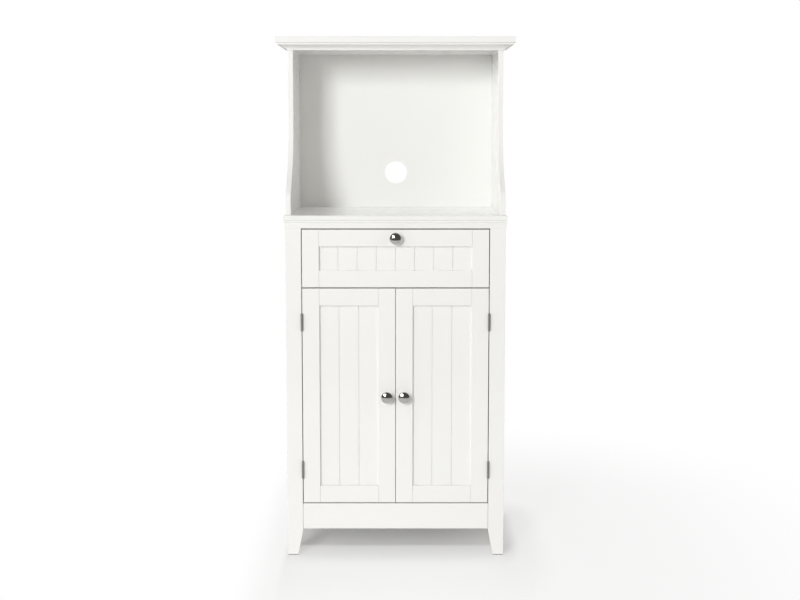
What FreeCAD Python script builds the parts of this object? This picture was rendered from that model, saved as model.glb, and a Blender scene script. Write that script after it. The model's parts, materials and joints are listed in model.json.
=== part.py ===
import FreeCAD, Part
import math
import os
from FreeCAD import Placement, Rotation, Vector

# Microwave cabinet: a two-door base with a drawer, a worktop and an open hutch above it.
# Millimetres, +Z up, front towards -Y, X = 0 in the middle, floor at Z = 0.
# The origin is the middle of the overall depth, from the knobs' tips to the back.

# ---------------------------------------------------------------- driving dimensions
# overall
overall_height = 1415.0
worktop_height = 935.0
worktop_width = 600.0
cabinet_depth = 395.0          # posts' front faces to the back
worktop_overhang = 4.5         # past the posts, at the front and at each side

# posts and tapered legs
post_width = 42.0
post_depth = 35.0
leg_clearance = 75.0           # floor to the underside of aprons and sides
taper_height = 71.0            # where the legs start to narrow
foot_width = 29.0
foot_depth = 25.0
glide_thickness = 3.0
glide_inset = 1.0
glide_corner = 3.0

# boards
frame_thickness = 18.0         # stiles, rails, aprons and the divider
floor_thickness = 15.0
apron_height = 70.6
side_thickness = 17.0
side_recess = 5.0
side_band = 60.0               # plain band left above and below the side's recess
back_thickness = 5.0
back_inset = 2.0
housing_depth = 6.0            # how far the backs are let into posts and panels
rear_rail_height = 42.0
divider_width = 60.0
divider_thickness = 18.0
divider_setback = 20.0
divider_drop = 8.0             # drawer box's underside to the divider's top

# worktop
worktop_thickness = 13.0
worktop_edge_radius = 2.0
worktop_moulding_height = 21.9
moulding_bead_radius = 3.4
moulding_bead_projection = 4.2
moulding_quirk = 2.0
moulding_quirk_depth = 0.8
moulding_band_projection = 3.0
moulding_band_foot = 1.0       # the band's projection at its lower edge

# hutch
hutch_inset = 4.0              # worktop's edge to the hutch's outer face
hutch_side_thickness = 14.0
hutch_foot_setback = 23.5      # posts' front faces to the foot of the hutch side
hutch_upper_setback = 140.5    # the same, to the hutch side's upper edge
hutch_foot_rise = 40.0
hutch_lower_radius = 32.0
hutch_upper_radius = 190.0
hutch_sweep_angle = 48.0
hutch_top_thickness = 18.5
cable_hole_radius = 32.5
cable_hole_height = 102.0      # above the worktop

# crown
crown_board_thickness = 16.5
crown_projection = 32.0
crown_edge_radius = 2.0
cove_foot = 3.0
cove_rise = 10.2
cove_projection = 23.0
cove_sag = 2.0
crown_bead_projection = 27.5
crown_bead_round = 2.0

# fronts
front_gap = 3.0                # above and below the drawer and the doors
drawer_side_gap = 2.1
door_middle_gap = 1.2
meeting_bevel = 1.0            # taken off the back of the doors' meeting edges
drawer_front_height = 156.0
drawer_stile_width = 45.3
drawer_rail_width = 45.5
door_stile_width = 45.6
door_rail_width = 46.5
panel_thickness = 6.0
panel_recess = 9.0
groove_depth = 8.0
groove_play = 0.5
bead_groove_width = 2.0
bead_groove_depth = 1.8
drawer_planks = 8
door_planks = 3

# drawer box
box_board = 12.0
box_length = 330.0
box_height = 109.0
box_lift = 14.5                # drawer front's lower edge to the box's lower edge
box_bottom_thickness = 4.0
box_bottom_rise = 8.0
box_groove_depth = 5.0

# drawer runners
runner_space = 12.5            # between batten and drawer box, each side
runner_steel = 1.2
roller_radius = 8.5
roller_width = 6.4
roller_axle_radius = 2.0
roller_head_radius = 3.4
roller_head_thickness = 0.8
rolling_gap = 0.3
runner_end_space = 7.0         # runner shorter than the drawer box
roller_inset = 10.0
runner_flange = 9.6
channel_play = 0.6             # rollers' lowest line to the channel's lower flange
channel_headroom = 1.8         # rollers' highest line to the channel's upper flange
member_lip_clearance = 1.2     # between the member's upper lip and the channel
channel_front_setback = 21.0
batten_height = 36.0
batten_drop = 5.0              # drawer box's underside to the battens' underside

# shelf
shelf_thickness = 15.0
shelf_height = 425.0
shelf_play = 1.5
shelf_pin_radius = 2.5
shelf_pin_depth = 8.0
shelf_pin_reach = 9.0
shelf_pin_collar_radius = 4.5
shelf_pin_collar = 1.0
shelf_pin_inset = 45.0
shelf_hole_pitch = 32.0
shelf_holes_each_way = 1

# hinges
hinge_gap = 2.2
hinge_inset = 91.5             # door's end to the hinge's middle
hinge_length = 46.0
hinge_knuckles = 5
knuckle_radius = 3.2
knuckle_gap = 0.3
hinge_pin_radius = 1.5
hinge_pin_tip_radius = 2.8
hinge_pin_tip = 2.2
leaf_thickness = 0.9
leaf_reach = 17.5              # behind the doors' faces
barrel_stand_off = 0.2         # barrel to the faces behind it

# knobs, catches and fasteners
knob_projection = 27.0
knob_radius = 16.0
knob_rim_height = 20.0         # the widest line, above the front
knob_cap_radius = 13.8         # where the rounded rim meets the cap and the underside
knob_cap_height = 24.0
knob_under_height = 16.4
knob_under_bulge = 7.7         # radius of the underside's flare halfway up
knob_flare_height = 13.5
knob_base_radius = 8.0
knob_base_height = 1.6
knob_neck_radius = 5.5
knob_neck_height = 8.1
knob_rim_softness = 0.55       # how far the rim's arcs stay inside the widest line
knob_screw_radius = 2.0
knob_screw_head_radius = 4.2
knob_screw_head = 2.2
knob_thread_depth = 12.0
catch_width = 46.0
catch_height = 12.0
catch_depth = 16.0
strike_width = 16.0
strike_thickness = 1.0
strike_offset = 13.0           # from the middle of the cabinet
strike_pin_radius = 2.0
strike_pin_length = 9.0
cam_radius = 7.5
cam_depth = 10.5
cam_sink = 1.0                 # cam's face below the side's
cam_distance = 34.0            # below the hutch's top panel
cam_front_inset = 32.0
cam_rear_inset = 35.0
cam_bolt_radius = 3.0
cam_bolt_reach = 11.0
screw_radius = 1.5
screw_head_radius = 3.0
hinge_screw_length = 15.0
hinge_screw_spread = 14.0
runner_screw_length = 6.5
runner_screw_inset = 55.0
hutch_screw_radius = 2.0
hutch_screw_head_radius = 4.0
hutch_screw_grip = 25.0
hutch_screw_inset = 60.0
fit_clearance = 0.05

# ---------------------------------------------------------------- derived places
overall_depth = cabinet_depth + knob_projection
back = overall_depth / 2
front = back - cabinet_depth                       # front faces of posts, doors and drawer
post_outer = worktop_width / 2 - worktop_overhang
post_inner = post_outer - post_width
side_inner = post_outer - side_thickness
board_bottom = worktop_height - worktop_thickness
opening_top = board_bottom - worktop_moulding_height
apron_top = leg_clearance + apron_height
back_face = back - back_inset - back_thickness     # inner face of the base's back
rear_rail_face = back_face - frame_thickness

drawer_top = opening_top - front_gap
drawer_bottom = drawer_top - drawer_front_height
door_top = drawer_bottom - front_gap
door_bottom = apron_top + front_gap
face_back = front + frame_thickness

box_half = post_inner - runner_space
box_bottom = drawer_bottom + box_lift
box_back = face_back + box_length
roller_height = box_bottom + roller_radius + rolling_gap
channel_front = front + channel_front_setback
runner_length = box_length - runner_end_space
divider_top = box_bottom - divider_drop
catch_top = divider_top - divider_thickness

ceiling = overall_height - crown_board_thickness - hutch_top_thickness
hutch_half_width = worktop_width / 2 - hutch_inset
hutch_inner = hutch_half_width - hutch_side_thickness
hutch_foot = front + hutch_foot_setback
hutch_front = front + hutch_upper_setback
hutch_back_face = back - back_thickness

hinge_x = post_inner - hinge_gap / 2
hinge_y = front - knuckle_radius - barrel_stand_off
hinge_heights = (door_bottom + hinge_inset, door_top - hinge_inset)
knob_height = (door_bottom + door_top) / 2
knob_x = (door_middle_gap + door_stile_width) / 2


# ---------------------------------------------------------------- shape helpers
def box(x, y, z):
    """Block from three (low, high) pairs."""
    return Part.makeBox(x[1] - x[0], y[1] - y[0], z[1] - z[0], Vector(x[0], y[0], z[0]))


def mirrored(shape):
    """The same piece on the other side of the cabinet."""
    return shape.mirror(Vector(0, 0, 0), Vector(1, 0, 0))


def both_sides(shape):
    return [mirrored(shape), shape]


def aimed(shape, place, direction):
    """Turn a shape made along +Z so that it runs along direction from place."""
    shape.Placement = Placement(place, Rotation(Vector(0, 0, 1), direction))
    return shape


def rod(radius, length, place, direction):
    return Part.makeCylinder(radius, length, place, direction)


def outline_face(edges):
    """Face inside line and arc edges; a last straight edge closes an open outline."""
    shapes = [edge.toShape() for edge in edges]
    wire = Part.Wire(shapes)
    if not wire.isClosed():
        ends = wire.OrderedVertexes
        wire = Part.Wire(shapes + [Part.makeLine(ends[-1].Point, ends[0].Point)])
    return Part.Face(wire)


def turned(edges):
    """Solid of revolution about Z."""
    return outline_face(edges).revolve(Vector(0, 0, 0), Vector(0, 0, 1), 360)


def polyline(points):
    return [Part.LineSegment(a, b) for a, b in zip(points, points[1:])]


def arc(start, middle, end):
    return Part.Arc(start, middle, end)


def dome(radius, rim, top):
    """Arc of a ball centred on the axis, from the rim's edge at height rim to height top."""
    rise = top - rim
    ball = (radius ** 2 + rise ** 2) / (2 * abs(rise))
    turn = math.asin(radius / ball) / 2
    centre = top - math.copysign(ball, rise)
    middle = Vector(ball * math.sin(turn), 0, centre + math.copysign(ball * math.cos(turn), rise))
    return arc(Vector(radius, 0, rim), middle, Vector(0, 0, top))


def prism(edges, sweep):
    """Closed outline of line and arc edges, pushed along sweep."""
    return outline_face(edges).extrude(sweep)


def countersunk_screw(head_radius, radius, length, place, direction, play=0.0):
    """Flat-head screw, head flush at place; play grows it into its own hole."""
    head = head_radius - radius
    points = [Vector(0, 0, 0), Vector(head_radius + play, 0, 0), Vector(radius + play, 0, head),
              Vector(radius + play, 0, length - radius), Vector(0, 0, length + play)]
    return aimed(turned(polyline(points)), place, direction)


def screw_and_hole(head_radius, radius, length, place, direction):
    return [countersunk_screw(head_radius, radius, length, place, direction, play)
            for play in (0.0, fit_clearance)]


def cut_all(shape, tools):
    return shape.cut(Part.makeCompound(tools)) if tools else shape


def solids(shape):
    return list(shape.Solids)


# ---------------------------------------------------------------- base cabinet
def post(y_front, foot_front):
    """Right-hand post whose leg tapers on its two inner faces to a foot that starts at foot_front."""
    y_back = y_front + post_depth
    shaft = box((post_inner, post_outer), (y_front, y_back), (taper_height, board_bottom))

    def section(x_low, y_low, y_high, z):
        corners = [Vector(x_low, y_low, z), Vector(post_outer, y_low, z),
                   Vector(post_outer, y_high, z), Vector(x_low, y_high, z)]
        return Part.makePolygon(corners + corners[:1])

    foot = section(post_outer - foot_width, foot_front, foot_front + foot_depth, glide_thickness)
    leg = Part.makeLoft([foot,
                         section(post_inner, y_front, y_back, taper_height)], True, True)
    return shaft.fuse(leg).removeSplitter()


def foot_glide(y_low, y_high):
    glide = box((post_outer - foot_width + glide_inset, post_outer - glide_inset),
                (y_low + glide_inset, y_high - glide_inset), (0, glide_thickness))
    uprights = [edge for edge in glide.Edges if abs(edge.tangentAt(0).z) > 0.9]
    return glide.makeFillet(glide_corner, uprights)


def side_panel(pin_holes):
    """Slab between the posts, with a field routed back between two plain bands."""
    y = (front + post_depth, back - post_depth)
    slab = box((side_inner, post_outer), y, (leg_clearance, board_bottom))
    field = box((post_outer - side_recess, post_outer), y,
                (leg_clearance + side_band, board_bottom - side_band))
    return cut_all(slab.cut(field), pin_holes)


def shelf_fittings():
    """Shelf, its right-hand pins and the holes drilled for them."""
    y = (front + post_depth + shelf_play, back - post_depth - shelf_play)
    half = side_inner - shelf_play
    shelf = box((-half, half), y, (shelf_height, shelf_height + shelf_thickness))
    long_edges = [edge for edge in shelf.Edges
                  if abs(edge.tangentAt(0).x) > 0.9 and edge.CenterOfMass.y < 0]
    shelf = shelf.makeFillet(worktop_edge_radius, long_edges)
    pins, holes = [], []
    pin_height = shelf_height - shelf_pin_radius - fit_clearance
    for pin_y in (y[0] + shelf_pin_inset, y[1] - shelf_pin_inset):
        start = Vector(side_inner + shelf_pin_depth, pin_y, pin_height)
        pin = rod(shelf_pin_radius, shelf_pin_depth + shelf_pin_reach, start, Vector(-1, 0, 0))
        collar = Part.makeCylinder(shelf_pin_collar_radius, shelf_pin_collar,
                                   Vector(side_inner, pin_y, pin_height), Vector(-1, 0, 0))
        trim = box((-worktop_width, worktop_width), y, (shelf_height, board_bottom))
        pins.append(pin.fuse(collar.cut(trim)))
        for step in range(-shelf_holes_each_way, shelf_holes_each_way + 1):
            place = Vector(side_inner, pin_y, pin_height + step * shelf_hole_pitch)
            holes.append(rod(shelf_pin_radius + fit_clearance, shelf_pin_depth, place,
                             Vector(1, 0, 0)))
    return shelf, pins, holes


def base_cabinet(hinge_holes, channel_holes):
    shelf, pins, pin_holes = shelf_fittings()
    back_board = box((-post_inner - housing_depth, post_inner + housing_depth),
                     (back_face, back_face + back_thickness), (leg_clearance, board_bottom))
    front_post = cut_all(post(front, front), hinge_holes)
    rear_post = post(back - post_depth, back - foot_depth).cut(back_board)
    posts = both_sides(front_post) + both_sides(rear_post)
    floor = box((-side_inner, side_inner), (face_back, back_face),
                (apron_top - floor_thickness, apron_top)).cut(Part.makeCompound(posts))
    inside = (-post_inner, post_inner)
    rear_rails = [
        box(inside, (rear_rail_face, back_face), (leg_clearance, apron_top - floor_thickness)),
        box(inside, (rear_rail_face, back_face), (board_bottom - rear_rail_height, board_bottom))]
    batten_bottom = box_bottom - batten_drop
    batten = box((post_inner, side_inner), (front + post_depth, back - post_depth),
                 (batten_bottom, batten_bottom + batten_height))
    glides = (both_sides(foot_glide(front, front + foot_depth))
              + both_sides(foot_glide(back - foot_depth, back)))
    return {
        "front_post_left": [mirrored(front_post)],
        "front_post_right": [front_post],
        "rear_posts": both_sides(rear_post),
        "side_panels": both_sides(side_panel(pin_holes)),
        "cabinet_floor": solids(floor),
        "front_apron": [box(inside, (front, face_back), (leg_clearance, apron_top))],
        "rear_rails": rear_rails,
        "cabinet_back": [back_board],
        "front_top_rail": [box(inside, (front, face_back), (opening_top, board_bottom))],
        "divider_rail": [box(inside, (front + divider_setback, front + divider_setback + divider_width),
                             (divider_top - divider_thickness, divider_top))],
        "runner_battens": both_sides(cut_all(batten, channel_holes)),
        "adjustable_shelf": [shelf],
        "shelf_pins": pins + [mirrored(pin) for pin in pins],
        "foot_glides": glides,
    }


# ---------------------------------------------------------------- mitred mouldings
def mitred_run(profile, half_width, y_front, height):
    """Front and side lengths of a moulding, mitred at the two front corners.

    profile holds edges in the XZ plane: X is the projection, Z the height.
    """
    reach = worktop_width
    section = outline_face(profile)
    along_x = section.copy()
    along_x.rotate(Vector(0, 0, 0), Vector(0, 0, 1), -90)
    along_x.translate(Vector(-reach, y_front, height))
    run = along_x.extrude(Vector(2 * reach, 0, 0))
    plan = polyline([Vector(-half_width, y_front, height), Vector(half_width, y_front, height),
                     Vector(half_width + reach, y_front - reach, height),
                     Vector(-half_width - reach, y_front - reach, height),
                     Vector(-half_width, y_front, height)])
    front_run = run.common(prism(plan, Vector(0, 0, worktop_height)))

    along_y = section.copy()
    along_y.translate(Vector(half_width, back, height))
    side = along_y.extrude(Vector(0, y_front - reach - back, 0))
    plan = polyline([Vector(half_width, y_front, height), Vector(half_width, back, height),
                     Vector(half_width + reach, back, height),
                     Vector(half_width + reach, y_front - reach, height),
                     Vector(half_width, y_front, height)])
    side_run = side.common(prism(plan, Vector(0, 0, worktop_height)))
    return front_run, side_run


def worktop_profile():
    """Band that leans out, quirk and half-round bead, bottom to top."""
    top = worktop_moulding_height
    bead_low = top - 2 * moulding_bead_radius
    quirk_low = bead_low - moulding_quirk
    quirk_x = moulding_quirk_depth
    bead_x = moulding_bead_projection
    return [
        *polyline([Vector(0, 0, top), Vector(0, 0, 0), Vector(moulding_band_foot, 0, 0),
                   Vector(moulding_band_projection, 0, quirk_low), Vector(quirk_x, 0, quirk_low),
                   Vector(quirk_x, 0, bead_low)]),
        arc(Vector(quirk_x, 0, bead_low), Vector(bead_x, 0, bead_low + moulding_bead_radius),
            Vector(quirk_x, 0, top)),
        *polyline([Vector(quirk_x, 0, top), Vector(0, 0, top)]),
    ]


def crown_profile():
    """Small foot, shallow cove and rounded bead, bottom to top."""
    top = hutch_top_thickness
    foot = Vector(cove_foot, 0, cove_foot)
    crest = Vector(cove_projection, 0, cove_foot + cove_rise)
    chord = crest - foot
    inward = Vector(-chord.z, 0, chord.x).normalize()
    middle = foot + chord * 0.5 + inward * cove_sag
    bead_start = Vector(crown_bead_projection - crown_bead_round, 0, crest.z)
    bead_end = Vector(crown_bead_projection, 0, crest.z + crown_bead_round)
    corner = crown_bead_round * (1 - math.sqrt(0.5))
    bead_middle = Vector(crown_bead_projection - corner, 0, crest.z + corner)
    return [
        *polyline([Vector(0, 0, top), Vector(0, 0, 0), Vector(cove_foot, 0, 0), foot]),
        arc(foot, middle, crest),
        *polyline([crest, bead_start]),
        arc(bead_start, bead_middle, bead_end),
        *polyline([bead_end, Vector(crown_bead_projection, 0, top), Vector(0, 0, top)]),
    ]


# ---------------------------------------------------------------- worktop, hutch and crown
def rounded_board(half_width, y_front, z, radius):
    """Board with its front and side edges softened, top and bottom."""
    board = box((-half_width, half_width), (y_front, back), z)
    edges = [edge for edge in board.Edges
             if abs(edge.tangentAt(0).z) < 0.1 and edge.CenterOfMass.y < back - radius]
    return board.makeFillet(radius, edges)


def hutch_side_outline():
    """Front edge in the YZ plane: upright foot, S-shaped sweep, upright upper edge."""
    angle = math.radians(hutch_sweep_angle)
    foot_top = Vector(0, hutch_foot, worktop_height + hutch_foot_rise)
    low_centre = foot_top + Vector(0, hutch_lower_radius, 0)

    def on_low(turn):
        return low_centre + Vector(0, -math.cos(turn), math.sin(turn)) * hutch_lower_radius

    sweep_start = on_low(angle)
    setback = hutch_front - sweep_start.y - hutch_upper_radius * (1 - math.cos(angle))
    sweep_end = sweep_start + Vector(0, setback, setback / math.tan(angle))
    high_centre = Vector(0, hutch_front - hutch_upper_radius,
                         sweep_end.z + hutch_upper_radius * math.sin(angle))

    def on_high(turn):
        return high_centre + Vector(0, math.cos(turn), -math.sin(turn)) * hutch_upper_radius

    upright = on_high(0)
    return [
        *polyline([Vector(0, hutch_foot, worktop_height), foot_top]),
        arc(foot_top, on_low(angle / 2), sweep_start),
        *polyline([sweep_start, sweep_end]),
        arc(sweep_end, on_high(angle / 2), upright),
        *polyline([upright, Vector(0, hutch_front, ceiling), Vector(0, back, ceiling),
                   Vector(0, back, worktop_height), Vector(0, hutch_foot, worktop_height)]),
    ]


def cam_fitting(y):
    """Right-hand cam, the bolt that it pulls down, and their holes."""
    height = ceiling - cam_distance
    cam = rod(cam_radius, cam_depth - cam_sink, Vector(hutch_inner + cam_sink, y, height),
              Vector(1, 0, 0))
    cam_hole = rod(cam_radius + fit_clearance, cam_depth + fit_clearance,
                   Vector(hutch_inner, y, height), Vector(1, 0, 0))
    bolt_x = hutch_inner + hutch_side_thickness / 2
    bolt_low = height + cam_radius + fit_clearance
    bolt_length = ceiling + cam_bolt_reach - bolt_low
    bolt = rod(cam_bolt_radius, bolt_length, Vector(bolt_x, y, bolt_low), Vector(0, 0, 1))
    bolt_hole = rod(cam_bolt_radius + fit_clearance, ceiling + cam_bolt_reach - height + fit_clearance,
                    Vector(bolt_x, y, height), Vector(0, 0, 1))
    return [cam, bolt], [cam_hole, bolt_hole]


def worktop_and_hutch():
    screws, screw_holes = [], []
    for y in (hutch_foot + hutch_screw_inset, back - hutch_screw_inset):
        place = Vector(hutch_inner + hutch_side_thickness / 2, y, board_bottom)
        screw, hole = screw_and_hole(hutch_screw_head_radius, hutch_screw_radius,
                                     worktop_thickness + hutch_screw_grip, place, Vector(0, 0, 1))
        screws.append(screw)
        screw_holes.append(hole)
    cams, cam_holes = [], []
    for y in (hutch_front + cam_front_inset, hutch_back_face - cam_rear_inset):
        pieces, holes = cam_fitting(y)
        cams += pieces
        cam_holes += holes

    worktop = rounded_board(worktop_width / 2, front - worktop_overhang,
                            (board_bottom, worktop_height), worktop_edge_radius)
    worktop = cut_all(worktop, screw_holes + [mirrored(hole) for hole in screw_holes])
    side = prism(hutch_side_outline(), Vector(hutch_side_thickness, 0, 0))
    side.translate(Vector(hutch_inner, 0, 0))
    side = cut_all(side, screw_holes + cam_holes)
    hutch_back = box((-hutch_inner, hutch_inner), (hutch_back_face, back), (worktop_height, ceiling))
    hutch_back = hutch_back.cut(rod(cable_hole_radius, back_thickness,
                                    Vector(0, hutch_back_face, worktop_height + cable_hole_height),
                                    Vector(0, 1, 0)))
    top_panel = box((-hutch_half_width, hutch_half_width), (hutch_front, back),
                    (ceiling, ceiling + hutch_top_thickness))
    top_panel = cut_all(top_panel, cam_holes + [mirrored(hole) for hole in cam_holes])
    crown = rounded_board(hutch_half_width + crown_projection, hutch_front - crown_projection,
                          (ceiling + hutch_top_thickness, overall_height), crown_edge_radius)
    moulding_front, moulding_side = mitred_run(worktop_profile(), post_outer, front, opening_top)
    cove_front, cove_side = mitred_run(crown_profile(), hutch_half_width, hutch_front, ceiling)
    return {
        "worktop_board": [worktop],
        "worktop_moulding_front": solids(moulding_front),
        "worktop_moulding_sides": both_sides(moulding_side.Solids[0]),
        "hutch_side_left": [mirrored(side)],
        "hutch_side_right": [side],
        "hutch_back": [hutch_back],
        "hutch_top_panel": [top_panel],
        "crown_board": [crown],
        "crown_moulding_front": solids(cove_front),
        "crown_moulding_sides": both_sides(cove_side.Solids[0]),
        "cam_fittings": cams + [mirrored(piece) for piece in cams],
        "hutch_screws": screws + [mirrored(piece) for piece in screws],
    }


# ---------------------------------------------------------------- framed fronts
def framed_front(x, z, stile, rail, planks):
    """Stiles, rails and grooved panel of a door or drawer front, groove and tongue jointed."""
    panel_y = (front + panel_recess, front + panel_recess + panel_thickness)
    thick = (front, face_back)
    opening_x = (x[0] + stile, x[1] - stile)
    opening_z = (z[0] + rail, z[1] - rail)
    slot = box((opening_x[0] - groove_depth, opening_x[1] + groove_depth), panel_y,
               (opening_z[0] - groove_depth, opening_z[1] + groove_depth))
    tongue = groove_depth - groove_play
    stiles = [box(span, thick, z).cut(box((opening_x[0] - groove_depth, opening_x[1] + groove_depth),
                                          panel_y, z))
              for span in ((x[0], opening_x[0]), (opening_x[1], x[1]))]
    rails = [box(opening_x, thick, span)
             .fuse(box((opening_x[0] - tongue, opening_x[1] + tongue), panel_y, span)).cut(slot)
             for span in ((z[0], opening_z[0]), (opening_z[1], z[1]))]
    panel = box((opening_x[0] - tongue, opening_x[1] + tongue), panel_y,
                (opening_z[0] - tongue, opening_z[1] + tongue))
    pitch = (opening_x[1] - opening_x[0]) / planks
    beads = [bead_groove(opening_x[0] + index * pitch, panel_y[0],
                         opening_z[0] - tongue, opening_z[1] + tongue)
             for index in range(1, planks)]
    return stiles, rails, cut_all(panel, beads)


def bead_groove(x, y, z_low, z_high):
    half = bead_groove_width / 2
    outline = polyline([Vector(x - half, y, z_low), Vector(x + half, y, z_low),
                        Vector(x, y + bead_groove_depth, z_low), Vector(x - half, y, z_low)])
    return prism(outline, Vector(0, 0, z_high - z_low))


def knob(x, z):
    """Mushroom knob, its screw from behind, and the hole through the front."""
    base = Vector(knob_base_radius, 0, knob_base_height)
    neck = Vector(knob_neck_radius, 0, knob_neck_height)
    flare = Vector(knob_under_bulge, 0, knob_flare_height)
    under = Vector(knob_cap_radius, 0, knob_under_height)
    widest = Vector(knob_radius, 0, knob_rim_height)
    shoulder = Vector(knob_cap_radius, 0, knob_cap_height)

    def rim_middle(start):
        """Point on the rounded rim between start and the widest line."""
        return Vector(knob_radius - knob_rim_softness, 0, (start.z + widest.z) / 2)

    base_middle = Vector(neck.x + (base.x - neck.x) / 4, 0, (base.z + neck.z) / 2)
    edges = [
        *polyline([Vector(0, 0, 0), Vector(base.x, 0, 0), base]),
        arc(base, base_middle, neck),
        arc(neck, flare, under),
        arc(under, rim_middle(under), widest),
        arc(widest, rim_middle(shoulder), shoulder),
        dome(shoulder.x, shoulder.z, knob_projection),
    ]
    body = aimed(turned(edges), Vector(x, front, z), Vector(0, -1, 0))
    thread = frame_thickness + knob_thread_depth
    shank = rod(knob_screw_radius, thread, Vector(x, face_back, z), Vector(0, -1, 0))
    head = rod(knob_screw_head_radius, knob_screw_head, Vector(x, face_back, z), Vector(0, 1, 0))
    hole = rod(knob_screw_radius + fit_clearance, thread + fit_clearance,
               Vector(x, face_back, z), Vector(0, -1, 0))
    return [body.cut(hole), shank.fuse(head)], hole


# ---------------------------------------------------------------- hinges
def hinge_leaf(side, height, knuckles):
    """One leaf of a butt hinge at the right-hand door; side is 1 on the post, -1 on the door."""
    low = height - hinge_length / 2
    step = hinge_length / hinge_knuckles
    x = sorted((hinge_x + side * (hinge_gap / 2 - leaf_thickness), hinge_x + side * hinge_gap / 2))
    clear = hinge_y + knuckle_radius + knuckle_gap
    leaf = box(x, (clear, front + leaf_reach), (low, low + hinge_length))
    for index in knuckles:
        z = (low + index * step + knuckle_gap / 2, low + (index + 1) * step - knuckle_gap / 2)
        leaf = leaf.fuse(box(x, (hinge_y + hinge_pin_radius + knuckle_gap, clear), z))
        leaf = leaf.fuse(rod(knuckle_radius, z[1] - z[0], Vector(hinge_x, hinge_y, z[0]),
                             Vector(0, 0, 1)))
    bore = rod(hinge_pin_radius + fit_clearance, hinge_length, Vector(hinge_x, hinge_y, low),
               Vector(0, 0, 1))
    return leaf.cut(bore).removeSplitter()


def hinge_pin(height):
    """Pin with a domed tip at each end."""
    half = hinge_length / 2 + fit_clearance
    tip, reach = hinge_pin_tip_radius, hinge_pin_tip
    edges = [
        dome(tip, half, half + reach),
        *polyline([Vector(0, 0, half + reach), Vector(0, 0, -half - reach)]),
        dome(tip, -half, -half - reach),
        *polyline([Vector(tip, 0, -half), Vector(hinge_pin_radius, 0, -half),
                   Vector(hinge_pin_radius, 0, half), Vector(tip, 0, half)]),
    ]
    return aimed(turned(edges), Vector(hinge_x, hinge_y, height), Vector(0, 0, 1))


def hinge_screws(side, height):
    place_x = hinge_x + side * (hinge_gap / 2 - leaf_thickness)
    y = front + leaf_reach / 2
    return [screw_and_hole(screw_head_radius, screw_radius, hinge_screw_length,
                           Vector(place_x, y, height + offset), Vector(side, 0, 0))
            for offset in (-hinge_screw_spread, hinge_screw_spread)]


def hinges():
    """Right-hand hinges: frame leaves, door leaves, pins, screws and holes."""
    odd = range(0, hinge_knuckles, 2)
    even = range(1, hinge_knuckles, 2)
    parts = {"frame_leaves": [], "door_leaves": [], "pins": [], "frame_screws": [],
             "door_screws": [], "frame_holes": [], "door_holes": []}
    for height in hinge_heights:
        parts["pins"].append(hinge_pin(height))
        for side, name, knuckles in ((1, "frame", odd), (-1, "door", even)):
            pairs = hinge_screws(side, height)
            holes = [hole for _, hole in pairs]
            parts[name + "_screws"] += [screw for screw, _ in pairs]
            parts[name + "_holes"] += holes
            parts[name + "_leaves"].append(cut_all(hinge_leaf(side, height, knuckles), holes))
    return parts


# ---------------------------------------------------------------- doors
def door(hinge_parts):
    """Right-hand door; the left one is its mirror image."""
    x = (door_middle_gap / 2, post_inner - hinge_gap)
    stiles, rails, panel = framed_front(x, (door_bottom, door_top), door_stile_width,
                                        door_rail_width, door_planks)
    knob_parts, knob_hole = knob(knob_x, knob_height)
    bevel = prism(polyline([Vector(x[0], front, door_bottom), Vector(x[0], face_back, door_bottom),
                            Vector(x[0] + meeting_bevel, face_back, door_bottom),
                            Vector(x[0], front, door_bottom)]), Vector(0, 0, door_top - door_bottom))
    strike_z = (catch_top - catch_height, min(door_top, catch_top))
    strike_middle = Vector(strike_offset, face_back, (strike_z[0] + strike_z[1]) / 2)
    strike = box((strike_offset - strike_width / 2, strike_offset + strike_width / 2),
                 (face_back, face_back + strike_thickness), strike_z)
    strike = strike.fuse(rod(strike_pin_radius, strike_pin_length, strike_middle, Vector(0, -1, 0)))
    strike_hole = rod(strike_pin_radius + fit_clearance, strike_pin_length + fit_clearance,
                      strike_middle, Vector(0, -1, 0))
    return {
        "hinge_stile": [cut_all(stiles[1], hinge_parts["door_holes"])],
        "latch_stile": [cut_all(stiles[0], [bevel, knob_hole, strike_hole])],
        "rails": rails,
        "panel": [panel],
        "knob": knob_parts,
        "hinge_leaves": hinge_parts["door_leaves"],
        "hinge_screws": hinge_parts["door_screws"],
        "strike_plate": [strike],
    }


def magnetic_catch():
    """Double catch under the divider rail, its poles just short of the strike plates."""
    y = face_back + strike_thickness + rolling_gap
    body = box((-catch_width / 2, catch_width / 2), (y + strike_thickness, y + catch_depth),
               (catch_top - catch_height, catch_top))
    for side in (-1, 1):
        middle = side * strike_offset
        for offset in (-strike_width / 4, strike_width / 4):
            pole = box((middle + offset - strike_thickness, middle + offset + strike_thickness),
                       (y, y + catch_depth / 2), (catch_top - catch_height + strike_thickness,
                                                  catch_top - strike_thickness))
            body = body.fuse(pole)
    return [body.removeSplitter()]


# ---------------------------------------------------------------- drawer
def roller(x, y, z):
    """Roller with softened rims, its bore a running fit on the axle."""
    soften = 0.8
    points = [Vector(roller_axle_radius + fit_clearance, 0, 0),
              Vector(roller_radius - soften, 0, 0), Vector(roller_radius, 0, soften),
              Vector(roller_radius, 0, roller_width - soften),
              Vector(roller_radius - soften, 0, roller_width),
              Vector(roller_axle_radius + fit_clearance, 0, roller_width)]
    return aimed(turned(polyline(points)), Vector(x, y, z), Vector(1, 0, 0))


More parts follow.
